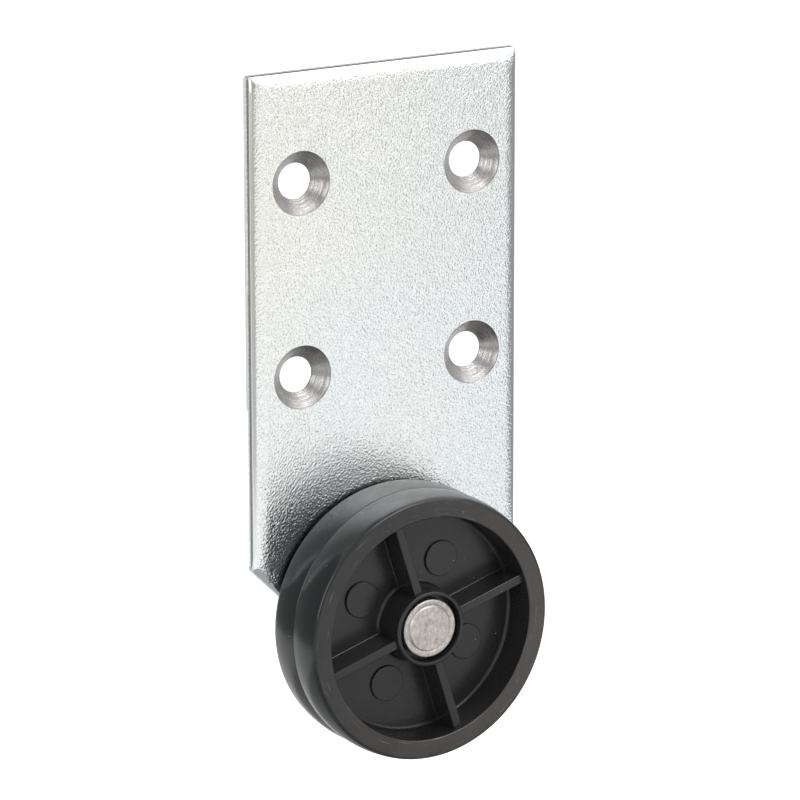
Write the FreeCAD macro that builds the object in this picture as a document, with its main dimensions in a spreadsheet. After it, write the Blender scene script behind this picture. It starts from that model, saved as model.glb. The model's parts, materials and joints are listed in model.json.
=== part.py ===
import FreeCAD, Part
import Sketcher
import os

# Side-mount roller. A stamped steel plate is screwed to the side of a door or cabinet through four
# countersunk holes. A moulded wheel turns in front of its lower end on a riveted axle.
#
# Frame: the origin is the middle of the screw holes on the plate's back face, +Z is up the plate,
# and the wheel is on the -Y side. Each piece is drawn with its own z axis pointing out of the plate's
# front, along the axle, and is then turned into that frame.

DIMENSIONS = [
    # Mounting plate
    ("hole_pitch_across", 32.0, "screw holes, side to side"),
    ("hole_pitch_along", 32.0, "screw holes, top to bottom"),
    ("side_margin", 9.0, "screw holes to the plate's sides"),
    ("top_margin", 18.0, "upper screw holes to the plate's top"),
    ("hole_to_axle_height", 41.5, "lower screw holes to the axle"),
    ("axle_to_tail_height", 8.5, "axle to the plate's lower edge"),
    ("tail_width", 13.2, "lower edge, between the 45 degree corner cuts"),
    ("plate_thickness", 2.5, "sheet thickness"),
    ("corner_radius", 0.5, "outline corners"),
    ("edge_roll", 1.3, "rounding that the press leaves along the front edges"),
    ("screw_hole_diameter", 5.9, "screw hole at the back face"),
    ("countersink_diameter", 10.6, "screw hole at the front face"),
    ("countersink_angle", 90.0, "screw hole's cone"),
    # Axle rivet
    ("shank_diameter", 7.0, "bearing surface for the wheel"),
    ("shoulder_width", 1.0, "shoulder that sits on the plate, round the tenon"),
    ("peen_spread", 1.1, "growth of the peened tail's radius at the back face"),
    ("peen_angle", 90.0, "cone of the peened tail and of its hole"),
    ("head_overhang", 1.4, "head beyond the shank, radial"),
    ("head_thickness", 1.7, "head without its raised face"),
    ("head_face_inset", 1.25, "head's edge to its raised face"),
    ("head_face_height", 0.3, "raised face of the head"),
    ("head_cone_width", 0.4, "width of the cone round the raised face"),
    ("head_edge_bevel", 0.2, "front edge of the head"),
    # Wheel
    ("wheel_diameter", 44.3, "at the parting line"),
    ("tread_width", 12.8, "rim, front to back"),
    ("tread_edge_drop", 0.2, "loss of radius from the parting line to the rim's faces"),
    ("tread_crown_radius", 34.0, "bulge of each half of the tread"),
    ("parting_groove_width", 0.2, "line where the mould halves met"),
    ("parting_groove_depth", 0.1, "line where the mould halves met"),
    ("rim_wall", 3.2, "rim at its faces"),
    ("draft_angle", 2.0, "taper of the moulded pockets and hub"),
    ("front_pocket_depth", 5.9, "rim's front face to the web"),
    ("web_thickness", 2.0, "web between hub and rim"),
    ("hub_wall", 0.65, "hub's collar round the rivet head's seat"),
    ("hub_setback", 0.3, "hub's front below the rim's front face"),
    ("seat_depth", 2.35, "seat for the rivet head, below the hub's front"),
    ("rib_count", 4, "ribs, and pads between them"),
    ("rib_thickness", 1.5, "ribs"),
    ("rib_setback", 1.0, "ribs below the rim's faces"),
    ("rib_angle", 17.4, "first rib above level, at rest"),
    ("pad_diameter", 6.0, "round ejector pads on the web"),
    ("pad_height", 0.4, "round ejector pads on the web"),
    ("pad_to_hub_gap", 1.85, "pads' edges to the hub"),
    ("root_bevel", 0.45, "corners where hub and rim meet the web"),
    ("tread_edge_bevel", 0.35, "tread's outer edges"),
    # Clearances
    ("running_clearance", 0.06, "bore round the shank, radial"),
    ("head_gap", 0.75, "seat round the rivet head, radial"),
    ("head_clearance", 0.15, "seat below the rivet head"),
    ("hub_clearance", 0.25, "hub's back end to the plate"),
    ("plate_gap", 1.0, "rim's back face to the plate"),
]

doc = FreeCAD.newDocument("side_mount_roller")
sheet = doc.addObject("Spreadsheet::Sheet", "dims")
for row, (alias, number, meaning) in enumerate(DIMENSIONS, start=1):
    sheet.set(f"A{row}", meaning)
    sheet.set(f"B{row}", str(number))
    sheet.setAlias(f"B{row}", alias)
doc.recompute()

# Places on the plate, measured from the middle of the screw holes.
PLATE_SIDE = "(dims.hole_pitch_across / 2 + dims.side_margin)"
PLATE_TOP = "(dims.hole_pitch_along / 2 + dims.top_margin)"
AXLE_DROP = "(dims.hole_pitch_along / 2 + dims.hole_to_axle_height)"
PLATE_BOTTOM = f"(-{AXLE_DROP} - dims.axle_to_tail_height)"

# Heights above the plate's front face.
RIM_BACK = "dims.plate_gap"
RIM_FRONT = "(dims.plate_gap + dims.tread_width)"
PARTING_LINE = "(dims.plate_gap + dims.tread_width / 2)"
WEB_FRONT = f"({RIM_FRONT} - dims.front_pocket_depth)"
WEB_BACK = f"({WEB_FRONT} - dims.web_thickness)"
WEB_MIDDLE = f"({WEB_FRONT} - dims.web_thickness / 2)"
RIB_BACK = f"({RIM_BACK} + dims.rib_setback)"
RIB_FRONT = f"({RIM_FRONT} - dims.rib_setback)"
PAD_FRONT = f"({WEB_FRONT} + dims.pad_height)"
HUB_BACK = "dims.hub_clearance"
HUB_FRONT = f"({RIM_FRONT} - dims.hub_setback)"
HEAD_SEAT = f"({HUB_FRONT} - dims.seat_depth)"
HEAD_BACK = f"({HEAD_SEAT} + dims.head_clearance)"

# Radii from the axle.
SHANK = "(dims.shank_diameter / 2)"
TENON = f"({SHANK} - dims.shoulder_width)"
PEEN = f"({TENON} + dims.peen_spread)"
HEAD = f"({SHANK} + dims.head_overhang)"
BORE = f"({SHANK} + dims.running_clearance)"
SEAT = f"({HEAD} + dims.head_gap)"
HUB = f"({SEAT} + dims.hub_wall)"
PAD_CENTRE = f"({HUB} + dims.pad_to_hub_gap + dims.pad_diameter / 2)"
TREAD = "(dims.wheel_diameter / 2)"
TREAD_EDGE = f"({TREAD} - dims.tread_edge_drop)"
RIM_MOUTH = f"({TREAD_EDGE} - dims.rim_wall)"
TAPER = "tan(dims.draft_angle * 1 deg)"

SAME = 1e-4  # two lengths closer than this are the same


def value(expression):
    return float(sheet.evalExpression(expression))


def new_body(name):
    body = doc.addObject("PartDesign::Body", name)
    body.Label = name
    return body


def new_sketch(body, name, role, height=None):
    """A sketch on one of the body's own origin planes, lifted along the plane's normal by height."""
    sketch = body.newObject("Sketcher::SketchObject", name)
    plane = next(feature for feature in body.Origin.OriginFeatures if feature.Role == role)
    sketch.AttachmentSupport = (plane, [""])
    sketch.MapMode = "FlatFace"
    if height:
        sketch.setExpression("AttachmentOffset.Base.z", height)
    return sketch


def place_point(sketch, geometry, end, x, y, tag):
    """Holds one point of a sketch at two expressions, measured from the sketch's origin."""
    for kind, expression in (("DistanceX", x), ("DistanceY", y)):
        number = sketch.addConstraint(
            Sketcher.Constraint(kind, -1, 1, geometry, end, value(expression)))
        name = f"{tag}_{kind}"
        sketch.renameConstraint(number, name)
        sketch.setExpression(f"Constraints.{name}", expression)


def draw_outline(sketch, corners, arcs=None):
    """A closed outline through corners. arcs gives a radius for a bulging side, by its first corner."""
    arcs = arcs or {}
    points = [FreeCAD.Vector(value(x), value(y), 0) for x, y in corners]
    count = len(points)
    ends = []
    for index, start in enumerate(points):
        finish = points[(index + 1) % count]
        if index in arcs:
            radius = value(arcs[index])
            chord = finish - start
            outward = FreeCAD.Vector(chord.y, -chord.x, 0).normalize()
            rise = radius - (radius ** 2 - (chord.Length / 2) ** 2) ** 0.5
            middle = (start + finish) / 2 + outward * rise
            side = sketch.addGeometry(Part.Arc(start, middle, finish))
            number = sketch.addConstraint(Sketcher.Constraint("Radius", side, radius))
            sketch.renameConstraint(number, f"bulge_{index}")
            sketch.setExpression(f"Constraints.bulge_{index}", arcs[index])
        else:
            side = sketch.addGeometry(Part.LineSegment(start, finish))
        starts_here = sketch.getPoint(side, 1).distanceToPoint(start) < SAME
        ends.append((side, 1, 2) if starts_here else (side, 2, 1))
    for index, (side, first, last) in enumerate(ends):
        following, following_first, _ = ends[(index + 1) % count]
        sketch.addConstraint(Sketcher.Constraint("Coincident", side, last, following, following_first))
        place_point(sketch, side, first, *corners[index], f"corner_{index}")


def draw_circle(sketch, x, y, diameter, tag="circle"):
    centre = FreeCAD.Vector(value(x), value(y), 0)
    ring = sketch.addGeometry(Part.Circle(centre, FreeCAD.Vector(0, 0, 1), value(diameter) / 2))
    number = sketch.addConstraint(Sketcher.Constraint("Diameter", ring, value(diameter)))
    sketch.renameConstraint(number, f"{tag}_diameter")
    sketch.setExpression(f"Constraints.{tag}_diameter", diameter)
    place_point(sketch, ring, 3, x, y, tag)


def extrude(body, name, sketch, length):
    pad = body.newObject("PartDesign::Pad", name)
    pad.Profile = sketch
    pad.setExpression("Length", length)
    doc.recompute()
    return pad


def revolve(body, name, sketch):
    """Turns a half section about the axle, which is the sketch's vertical axis."""
    turned = body.newObject("PartDesign::Revolution", name)
    turned.Profile = sketch
    turned.ReferenceAxis = (sketch, ["V_Axis"])
    turned.Angle = 360
    doc.recompute()
    return turned


def dress_edges(body, kind, name, size, wanted):
    """Fillets or chamfers the edges of the body's last feature for which wanted(edge) is true."""
    base = body.Tip
    names = [f"Edge{index}" for index, edge in enumerate(base.Shape.Edges, start=1) if wanted(edge)]
    if not names:
        raise ValueError(f"{name} found no edge to dress")
    dressing = body.newObject(f"PartDesign::{kind}", name)
    dressing.Base = (base, names)
    dressing.setExpression("Radius" if kind == "Fillet" else "Size", size)
    doc.recompute()
    return dressing


def is_ring(edge, rings):
    """True for a full circle about the axle with one of the given radii and heights."""
    if not isinstance(edge.Curve, Part.Circle) or not edge.isClosed():
        return False
    found = (edge.Curve.Radius, edge.Curve.Center.z)
    return any(abs(found[0] - value(r)) < SAME and abs(found[1] - value(h)) < SAME for r, h in rings)


def drill(body, name, sketch, diameter, mouth_diameter, angle, upward=False):
    """A through hole at each circle of the sketch, with a cone at the sketch's face."""
    doc.recompute()
    before = body.Tip.Shape.Volume
    hole = body.newObject("PartDesign::Hole", name)
    hole.Profile = sketch
    hole.ThreadType = "None"
    hole.DepthType = "ThroughAll"
    hole.HoleCutType = "Countersink"
    hole.HoleCutCustomValues = True
    hole.Reversed = upward
    hole.setExpression("Diameter", diameter)
    hole.setExpression("HoleCutDiameter", mouth_diameter)
    hole.setExpression("HoleCutCountersinkAngle", angle)
    doc.recompute()
    if hole.Shape.Volume > before - SAME:
        raise ValueError(f"{name} cut nothing")
    return hole


def turn_into_frame(body, y, z, spin="0"):
    """Lays a piece's own z axis along -Y, turned about the axle by spin, with its origin at y and z."""
    upright = "rotation(vector(1; 0; 0); 90)"
    spun = f"rotation(vector(0; 0; 1); {spin})"
    body.setExpression("Placement", f"placement(vector(0; {y}; {z}); {upright} * {spun})")


def make_mounting_plate():
    """Stamped plate: its own z runs from 0 at the back face to the sheet's thickness at the front."""
    body = new_body("mounting_plate")
    tail = "dims.tail_width / 2"
    shoulder = f"({PLATE_BOTTOM} + {PLATE_SIDE} - {tail})"
    blank = new_sketch(body, "plate_outline", "XY_Plane")
    draw_outline(blank, [
        (f"-{tail}", PLATE_BOTTOM),
        (tail, PLATE_BOTTOM),
        (PLATE_SIDE, shoulder),
        (PLATE_SIDE, PLATE_TOP),
        (f"-{PLATE_SIDE}", PLATE_TOP),
        (f"-{PLATE_SIDE}", shoulder),
    ])
    extrude(body, "plate_blank", blank, "dims.plate_thickness")

    thickness = value("dims.plate_thickness")
    dress_edges(body, "Fillet", "outline_corners", "dims.corner_radius",
                lambda edge: edge.BoundBox.ZLength > thickness / 2)
    dress_edges(body, "Fillet", "rolled_edges", "dims.edge_roll",
                lambda edge: edge.BoundBox.ZMin > thickness - SAME)

    screws = new_sketch(body, "screw_hole_centres", "XY_Plane", "dims.plate_thickness")
    for across in ("left", "right"):
        for along in ("lower", "upper"):
            x = "dims.hole_pitch_across / 2" if across == "right" else "-dims.hole_pitch_across / 2"
            y = "dims.hole_pitch_along / 2" if along == "upper" else "-dims.hole_pitch_along / 2"
            draw_circle(screws, x, y, "dims.screw_hole_diameter", f"{along}_{across}")
    drill(body, "screw_holes", screws, "dims.screw_hole_diameter", "dims.countersink_diameter",
          "dims.countersink_angle")

    rivet = new_sketch(body, "rivet_hole_centre", "XY_Plane")
    draw_circle(rivet, "0", f"-{AXLE_DROP}", f"2 * {TENON}")
    drill(body, "rivet_hole", rivet, f"2 * {TENON}", f"2 * {PEEN}", "dims.peen_angle", upward=True)
    turn_into_frame(body, "0", "0")
    return body


def make_axle_rivet():
    """Shoulder rivet: its own z is 0 at the shoulder, which sits on the plate's front face."""
    body = new_body("axle_rivet")
    face = f"({HEAD} - dims.head_face_inset)"
    head_front = f"({HEAD_BACK} + dims.head_thickness)"
    face_front = f"({head_front} + dims.head_face_height)"
    section = new_sketch(body, "rivet_section", "XZ_Plane")
    draw_outline(section, [
        ("0", "-dims.plate_thickness"),
        (PEEN, "-dims.plate_thickness"),
        (TENON, "dims.peen_spread / tan(dims.peen_angle / 2 * 1 deg) - dims.plate_thickness"),
        (TENON, "0"),
        (SHANK, "0"),
        (SHANK, HEAD_BACK),
        (HEAD, HEAD_BACK),
        (HEAD, head_front),
        (f"{face} + dims.head_cone_width", head_front),
        (face, face_front),
        ("0", face_front),
    ])
    revolve(body, "rivet_blank", section)
    dress_edges(body, "Chamfer", "head_edge", "dims.head_edge_bevel",
                lambda edge: is_ring(edge, [(HEAD, head_front)]))
    turn_into_frame(body, "-dims.plate_thickness", f"-{AXLE_DROP}")
    return body


def make_wheel():
    """Moulded wheel: its own z is 0 at the plate's front face, and rises towards the rivet's head."""
    body = new_body("wheel")
    groove = "dims.parting_groove_width / 2"
    hub_root_back = f"({HUB} + ({WEB_BACK} - {HUB_BACK}) * {TAPER})"
    hub_root_front = f"({HUB} + ({HUB_FRONT} - {WEB_FRONT}) * {TAPER})"
    rim_root_back = f"({RIM_MOUTH} - ({WEB_BACK} - {RIM_BACK}) * {TAPER})"
    rim_root_front = f"({RIM_MOUTH} - dims.front_pocket_depth * {TAPER})"
    back_half = (TREAD_EDGE, RIM_BACK)
    front_half = (TREAD, f"{PARTING_LINE} + {groove}")
    corners = [
        (BORE, HUB_BACK),
        (HUB, HUB_BACK),
        (hub_root_back, WEB_BACK),
        (rim_root_back, WEB_BACK),
        (RIM_MOUTH, RIM_BACK),
        back_half,
        (TREAD, f"{PARTING_LINE} - {groove}"),
        (f"{TREAD} - dims.parting_groove_depth", PARTING_LINE),
        front_half,
        (TREAD_EDGE, RIM_FRONT),
        (RIM_MOUTH, RIM_FRONT),
        (rim_root_front, WEB_FRONT),
        (hub_root_front, WEB_FRONT),
        (HUB, HUB_FRONT),
        (SEAT, HUB_FRONT),
        (SEAT, HEAD_SEAT),
        (BORE, HEAD_SEAT),
    ]
    crowns = {corners.index(start): "dims.tread_crown_radius" for start in (back_half, front_half)}
    section = new_sketch(body, "wheel_section", "XZ_Plane")
    draw_outline(section, corners, crowns)
    revolve(body, "rim_web_hub", section)
    dress_edges(body, "Chamfer", "web_roots", "dims.root_bevel", lambda edge: is_ring(edge, [
        (hub_root_back, WEB_BACK), (rim_root_back, WEB_BACK),
        (hub_root_front, WEB_FRONT), (rim_root_front, WEB_FRONT)]))
    dress_edges(body, "Chamfer", "tread_edges", "dims.tread_edge_bevel", lambda edge: is_ring(edge, [
        (TREAD_EDGE, RIM_BACK), (TREAD_EDGE, RIM_FRONT)]))

    # One rib runs through the web, from inside the hub's collar to inside the rim.
    rib_start = f"({SEAT} + dims.hub_wall / 2)"
    rib_end = f"({RIM_MOUTH} + dims.rim_wall / 2)"
    rib_side = "dims.rib_thickness / 2"
    rib_section = new_sketch(body, "rib_section", "YZ_Plane", rib_start)
    draw_outline(rib_section, [
        (f"-{rib_side}", RIB_BACK),
        (rib_side, RIB_BACK),
        (rib_side, RIB_FRONT),
        (f"-{rib_side}", RIB_FRONT),
    ])
    rib = extrude(body, "rib", rib_section, f"{rib_end} - {rib_start}")

    # One ejector pad stands on the web, halfway to the next rib.
    halfway = "(180 deg / dims.rib_count)"
    pad_outline = new_sketch(body, "pad_outline", "XY_Plane", WEB_MIDDLE)
    draw_circle(pad_outline, f"{PAD_CENTRE} * cos({halfway})", f"{PAD_CENTRE} * sin({halfway})",
                "dims.pad_diameter")
    ejector_pad = extrude(body, "ejector_pad", pad_outline, f"{PAD_FRONT} - {WEB_MIDDLE}")

    around = body.newObject("PartDesign::PolarPattern", "ribs_and_pads")
    around.Originals = [rib, ejector_pad]
    around.Axis = (pad_outline, ["N_Axis"])
    around.Angle = 360
    around.setExpression("Occurrences", "dims.rib_count")
    body.Tip = around
    doc.recompute()
    turn_into_frame(body, "-dims.plate_thickness", f"-{AXLE_DROP}", "dims.rib_angle")
    return body


pieces = [make_mounting_plate(), make_axle_rivet(), make_wheel()]
doc.recompute()

for item in doc.Objects:
    if "Invalid" in item.State or "Error" in item.State:
        raise ValueError(f"{item.Label} failed: {item.State}")
for piece in pieces:
    if piece.Shape.isNull() or not piece.Shape.isValid() or len(piece.Shape.Solids) != 1:
        raise ValueError(f"{piece.Label} isn't one valid solid")

os.makedirs("parts", exist_ok=True)
for piece in pieces:
    piece.Shape.exportStep(f"parts/{piece.Label}.step")
    box = piece.Shape.BoundBox
    print(f"{piece.Label}: {piece.Shape.Volume:.1f} mm3, {len(piece.Shape.Faces)} faces, "
          f"x {box.XMin:.2f} to {box.XMax:.2f}, y {box.YMin:.2f} to {box.YMax:.2f}, "
          f"z {box.ZMin:.2f} to {box.ZMax:.2f}")
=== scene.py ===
"""Looks of a side-mount roller: a stamped, zinc-plated steel plate, a moulded black wheel and its rivet.

Laid out as an add-on and run as a script. Lengths are modelled in millimetres and scaled to metres
when a piece is finished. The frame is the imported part's: +Z is up the plate, the wheel is on the -Y side.
"""

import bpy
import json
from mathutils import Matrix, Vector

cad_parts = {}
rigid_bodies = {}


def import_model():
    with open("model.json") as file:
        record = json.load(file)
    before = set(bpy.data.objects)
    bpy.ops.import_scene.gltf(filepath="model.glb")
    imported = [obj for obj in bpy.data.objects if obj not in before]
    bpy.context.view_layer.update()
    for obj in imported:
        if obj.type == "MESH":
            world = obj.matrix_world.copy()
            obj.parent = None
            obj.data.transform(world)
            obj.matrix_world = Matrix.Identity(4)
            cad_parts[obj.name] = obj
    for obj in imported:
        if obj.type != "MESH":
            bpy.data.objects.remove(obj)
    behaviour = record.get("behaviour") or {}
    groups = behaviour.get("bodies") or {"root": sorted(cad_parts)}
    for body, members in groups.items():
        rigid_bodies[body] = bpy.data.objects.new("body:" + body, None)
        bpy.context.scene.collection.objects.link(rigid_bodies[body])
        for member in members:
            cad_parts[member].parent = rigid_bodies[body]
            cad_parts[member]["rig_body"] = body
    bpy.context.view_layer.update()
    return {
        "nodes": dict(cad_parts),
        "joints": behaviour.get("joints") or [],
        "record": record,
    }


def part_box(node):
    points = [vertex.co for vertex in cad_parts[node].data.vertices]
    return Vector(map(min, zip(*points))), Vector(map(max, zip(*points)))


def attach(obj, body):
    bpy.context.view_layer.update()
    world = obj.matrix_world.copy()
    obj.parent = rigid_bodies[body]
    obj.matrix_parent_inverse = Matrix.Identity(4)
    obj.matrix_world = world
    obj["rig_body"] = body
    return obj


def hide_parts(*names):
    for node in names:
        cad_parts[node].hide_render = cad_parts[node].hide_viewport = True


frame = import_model()

import json
import math
from functools import partial
from types import SimpleNamespace

import bmesh
import bpy
from bpy.props import FloatProperty, FloatVectorProperty, IntProperty, PointerProperty
from mathutils import Matrix, Vector

bl_info = {
    "name": "Side-mount roller",
    "version": (1, 0, 0),
    "blender": (4, 5, 0),
    "location": "3D View > Sidebar > Roller",
    "description": "Models a side-mount roller over its packed frame and lights it in a pale studio",
    "category": "Add Mesh",
}

MM = 0.001
PER_M = 1000.0
SAME = 1e-3  # mm, places closer than this are the same
SHARP_ANGLE = math.radians(30)  # edges that turn more than this stay sharp
SIDE_LIMIT, WALL_LIMIT = 0.5, 0.9  # share of Y in a normal, below it a face is a side or a hole's wall
HOLE_SEGMENTS = 96
RIVET_SEGMENTS = 128
PAD_SEGMENTS = 72
MIX_SHARE, MIX_FROM, MIX_TO = 0, 6, 7  # sockets of a Mix node that mixes colours
WHITE = (1.0, 1.0, 1.0, 1.0)

AXLE = Vector(frame["joints"][0]["pos_m"]) * PER_M
PLATE_LOW, PLATE_HIGH = (corner * PER_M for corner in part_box("mounting_plate"))
WHEEL_LOW, WHEEL_HIGH = (corner * PER_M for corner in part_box("wheel"))
RIVET_LOW, RIVET_HIGH = (corner * PER_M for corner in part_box("axle_rivet"))
TREAD_RADIUS = (WHEEL_HIGH.x - WHEEL_LOW.x) / 2
SCREW_HOLES = next(mount for mount in frame["record"]["mounts"] if mount["name"] == "screw_holes")["dims"]
HALF_PITCH = Vector((SCREW_HOLES["spacing_x_mm"] / 2, 0, SCREW_HOLES["spacing_y_mm"] / 2))

# Soft lamps: name, azimuth and elevation in degrees, distance and size in metres, radiance.
LAMPS = (
    ("front_softbox", 24, 34, 1.0, (0.88, 0.2), 2.8),
    ("high_softbox", 12, 48, 1.0, (0.5, 0.28), 6.5),
    ("low_softbox", 33, 12, 1.0, (0.5, 0.26), 1.4),
    ("top_softbox", 85, 60, 1.0, (0.8, 0.8), 1.4),
    ("left_softbox", -60, 10, 0.9, (0.48, 0.6), 2.8),
)
# Upright cards: name, azimuth, half width, lower and upper edge in degrees, distance in metres, shade.
FLAGS = (
    ("flag_camera", -28, 21, 12, 48, 0.5, 0.62),
    ("flag_camera_low", -35, 17, -8, 14, 0.5, 0.4),
    ("flag_front", 6, 11, 8, 22, 0.6, 0.55),
    ("flag_left", -57, 26, -20, -4, 0.42, 0.54),
    ("flag_right", 46, 8, -20, 4, 0.42, 0.62),
    ("flag_far_right", 80, 26, -27, 6, 0.3, 0.36),
    ("flag_left_behind", -130, 36, -30, 30, 0.2, 0.33),
    ("flag_right_behind", 149, 12, 4, 44, 0.42, 0.12),
)


def from_hex(code):
    """A linear colour from an sRGB hex value."""
    parts = [int(code[place:place + 2], 16) / 255 for place in (1, 3, 5)]
    return [part / 12.92 if part <= 0.04045 else ((part + 0.055) / 1.055) ** 2.4 for part in parts]


def length(label, description, millimetres):
    return FloatProperty(name=label, description=description, default=millimetres * MM, min=0,
                         unit="LENGTH", precision=5)


def angle(label, description, degrees):
    return FloatProperty(name=label, description=description, default=math.radians(degrees),
                         subtype="ANGLE")


def strength(label, description, value):
    return FloatProperty(name=label, description=description, default=value, min=0, soft_max=1,
                         subtype="FACTOR")


def colour(label, description, code):
    return FloatVectorProperty(name=label, description=description, default=from_hex(code), size=3,
                               min=0, max=1, subtype="COLOR")


class PlateSettings(bpy.types.PropertyGroup):
    corner_cut: length("Corner cut", "Legs of the 45 degree cuts at the lower corners", 18.4)
    corner_radius: length("Corner radius", "Outline corners", 0.5)
    edge_roll: length("Edge roll", "Depth of the rounding that the press leaves along the front edges", 1.3)
    roll_width: length("Roll width", "Width of that rounding on the front face", 2.6)
    countersink_width: length("Countersink", "Screw hole's diameter at the front face", 10.6)
    rivet_hole_width: length("Rivet hole", "Diameter of the hole round the rivet's tenon", 5.0)
    peen_width: length("Peen", "Diameter of the peened tail's cone at the back face", 7.2)
    fracture_depth: length("Fracture", "Torn part of the sheared sides, from the back face", 0.92)
    fracture_rough: length("Fracture roughness", "Unevenness of the torn part", 0.05)
    nib_height: length("Nib height", "Step in the left side, below the middle of the holes", 20.8)
    nib_step: length("Nib step", "How far the torn part steps in below the nib", 0.3)


class RivetSettings(bpy.types.PropertyGroup):
    shank_width: length("Shank", "Diameter of the bearing surface", 7.0)
    head_thickness: length("Head", "Thickness of the head without its raised face", 1.87)
    face_inset: length("Face inset", "Head's edge to its raised face", 1.25)
    face_height: length("Face height", "Raised face of the head", 0.13)
    groove_width: length("Groove width", "Groove round the raised face, across", 0.45)
    groove_depth: length("Groove depth", "Groove below the head's outer ring", 0.1)
    edge_radius: length("Edge radius", "Front edge of the head", 0.25)
    tail_radius: length("Tail rounding", "Rounded rim of the peened tail", 0.2)


class WheelSettings(bpy.types.PropertyGroup):
    hub_width: length("Hub", "Diameter of the hub's collar", 12.6)
    seat_width: length("Seat", "Diameter of the seat for the rivet's head", 11.3)
    bore_width: length("Bore", "Diameter of the bore", 7.12)
    seat_depth: length("Seat depth", "Seat for the rivet's head, below the hub's front", 2.35)
    hub_setback: length("Hub setback", "Hub's front below the rim's front face", 0.3)
    rim_wall: length("Rim wall", "Rim at its faces", 3.2)
    plate_gap: length("Plate gap", "Rim's back face to the plate", 0.6)
    edge_drop: length("Edge drop", "Loss of radius from the parting line to the rim's faces", 0.2)
    crown_radius: length("Crown", "Bulge of each half of the tread", 17.0)
    parting_groove: length("Parting groove", "Depth and half width of the groove at the parting line", 0.1)
    pocket_depth: length("Pocket depth", "Rim's front face to the web", 5.9)
    web_thickness: length("Web", "Web between hub and rim", 2.0)
    rib_thickness: length("Rib", "Thickness of the ribs", 1.5)
    rib_setback: length("Rib setback", "Ribs below the rim's faces", 1.0)
    pad_width: length("Pad", "Diameter of the ejector pads", 6.0)
    pad_height: length("Pad height", "Ejector pads above the web", 0.4)
    pad_reach: length("Pad reach", "Axle to the middle of a pad", 11.15)
    root_radius: length("Root radius", "Where hub and rim meet the web", 0.6)
    tread_edge_radius: length("Tread edge radius", "Tread's outer edges", 0.5)
    mouth_radius: length("Mouth radius", "Inner edges of the rim's faces and the hub's front edge", 0.25)
    seat_radius: length("Seat radius", "Front edge of the seat", 0.1)
    rib_root_radius: length("Rib root radius", "Where the ribs meet the web", 0.25)
    rib_edge_radius: length("Rib edge radius", "Outer edges of the ribs", 0.15)
    pad_edge_radius: length("Pad edge radius", "Front edges of the pads", 0.15)
    draft: angle("Draft", "Taper of the moulded pockets and hub", 2)
    rib_angle: angle("Rib angle", "First rib above level at rest", 17.4)
    rib_count: IntProperty(name="Ribs", description="Ribs, and pads between them", default=4, min=2)
    segments: IntProperty(name="Segments", description="Straight sides of each turned ring", default=256,
                          min=64)


class FinishSettings(bpy.types.PropertyGroup):
    zinc_warm: colour("Zinc, warm", "Zinc plating where it has a yellowish tint", "#e8e7e1")
    zinc_cool: colour("Zinc, cool", "Zinc plating where it has a bluish tint", "#dfe5e8")
    machined: colour("Machined steel", "Countersinks, cut into the plated sheet", "#bab8b7")
    # Machined steel, dark: random blotches on the countersinks, and a darker ragged band at their mouths.
    machined_dark: colour("Machined steel, dark", "Countersinks where the cutter smeared", "#848281")
    burnished: colour("Burnished steel", "Smooth land of the sheared sides", "#989a9d")
    torn: colour("Torn steel", "Fracture of the sheared sides", "#eeefef")
    rivet: colour("Rivet steel", "Dull plated head", "#d9d4d0")
    rivet_dark: colour("Rivet steel, dark", "Mottling of the head", "#98928e")
    plastic: colour("Black plastic", "Wheel moulding", "#212123")
    # Rim's front face: real scuffs, plus painted light that makes it paler towards the lower right.
    plastic_scuffed_and_lit: colour("Black plastic, scuffed", "Rim's front face", "#423f3c")
    plastic_tread: colour("Black plastic, tread", "Rolling surface with fine dust", "#1d2021")
    dust: colour("Dust", "Flecks and scratches on the wheel", "#8d8983")


class StageSettings(bpy.types.PropertyGroup):
    floor: colour("Floor", "Matt floor", "#cfcfcf")
    floor_drop: length("Floor drop", "Floor below the wheel", 80.0)
    floor_seen: strength("Floor seen", "Glow of the floor for the camera and through glass", 0.9)
    floor_mirrored: strength("Floor mirrored", "Glow of the floor in reflections", 0.54)
    world_fill: strength("World fill", "Light from the pale surroundings", 0.42)
    camera_place: FloatVectorProperty(name="Camera", description="Camera from the middle of the holes",
                                      default=(-0.401626, -0.677792, 0.188423), size=3,
                                      subtype="TRANSLATION")
    azimuth: angle("Azimuth", "Camera's turn to the left of square on", 30.884)
    elevation: angle("Elevation", "Camera above level", 14.992)
    roll: angle("Roll", "Camera's turn about its line of sight", -0.102)
    lens: FloatProperty(name="Lens", description="Focal length", default=224.3, min=10, unit="CAMERA")
    sensor: FloatProperty(name="Sensor", description="Width of the sensor", default=36, min=1, unit="CAMERA")


def in_millimetres(group):
    """A settings group's values, with its lengths in millimetres."""
    values = {}
    for name, kind in group.bl_rna.properties.items():
        value = getattr(group, name)
        values[name] = value * PER_M if kind.unit == "LENGTH" else value
    return SimpleNamespace(**values)


def clear_selection():
    if bpy.context.mode != "OBJECT":
        bpy.ops.object.mode_set(mode="OBJECT")
    bpy.ops.object.select_all(action="DESELECT")


def select(piece):
    """Selects one piece alone and makes it the active one."""
    clear_selection()
    bpy.context.view_layer.objects.active = piece
    piece.select_set(True)


def name_new(name):
    """Names the object that was just added, and puts its place, turn and scale into its mesh."""
    piece = bpy.context.object
    piece.name = name
    bpy.ops.object.transform_apply()
    return piece


def edit(piece):
    select(piece)
    bpy.ops.object.mode_set(mode="EDIT")
    bpy.ops.mesh.select_mode(type="VERT")


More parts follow.
